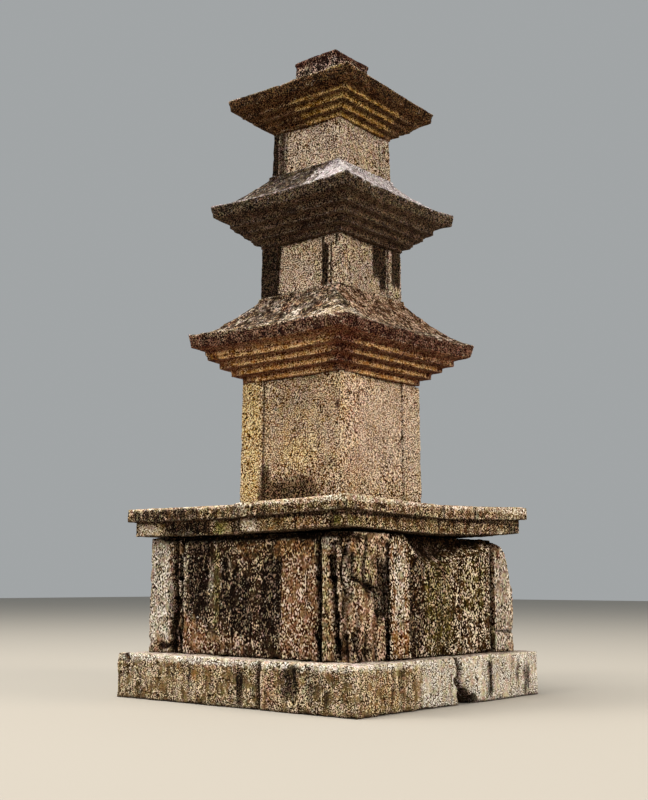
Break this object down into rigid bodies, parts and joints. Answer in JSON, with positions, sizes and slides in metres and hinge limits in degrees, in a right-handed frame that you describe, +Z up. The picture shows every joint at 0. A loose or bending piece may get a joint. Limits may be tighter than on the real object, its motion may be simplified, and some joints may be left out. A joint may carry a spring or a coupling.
{
  "type": "stone pagoda",
  "caption": "Granite pagoda of stacked square storeys on a panelled platform, with stepped and lifted roof stones and a square finial base, weathered and chipped.",
  "frame": {"origin": "on the ground at the middle of the foundation", "axes": "+Z up; the front looks along -Y and the right side along +X"},
  "size_m": [1.908, 1.908, 4.26],
  "materials": {
    "foundation_granite": "hewn, worn and rain-stained",
    "platform_granite": "hewn, brown, with black rain streaks",
    "rubble": "packed rubble and earth",
    "capstone_granite": "moulded, grey with lichen",
    "body_granite": "fine hewn, warm beige and speckled",
    "roof_granite": "stepped, dark with lichen and ochre edges",
    "finial_granite": "worn, dark and speckled"
  },
  "bodies": {
    "root": {"foundation_front_left": "foundation_granite", "foundation_front_right": "foundation_granite", "foundation_back_right": "foundation_granite", "foundation_back_left": "foundation_granite", "platform_pillar_front_left": "platform_granite", "platform_pillar_front_right": "platform_granite", "platform_pillar_back_right": "platform_granite", "platform_pillar_back_left": "platform_granite", "platform_panel_front": "platform_granite", "platform_panel_right": "platform_granite", "platform_panel_back": "platform_granite", "platform_panel_left": "platform_granite", "rubble_core": "rubble", "capstone_front_left": "capstone_granite", "capstone_front_right": "capstone_granite", "capstone_back_right": "capstone_granite", "capstone_back_left": "capstone_granite", "body_1": "body_granite", "roof_1": "roof_granite", "body_2": "body_granite", "roof_2": "roof_granite", "body_3": "body_granite", "roof_3": "roof_granite", "finial_base": "finial_granite"}
  },
  "joints": []
}
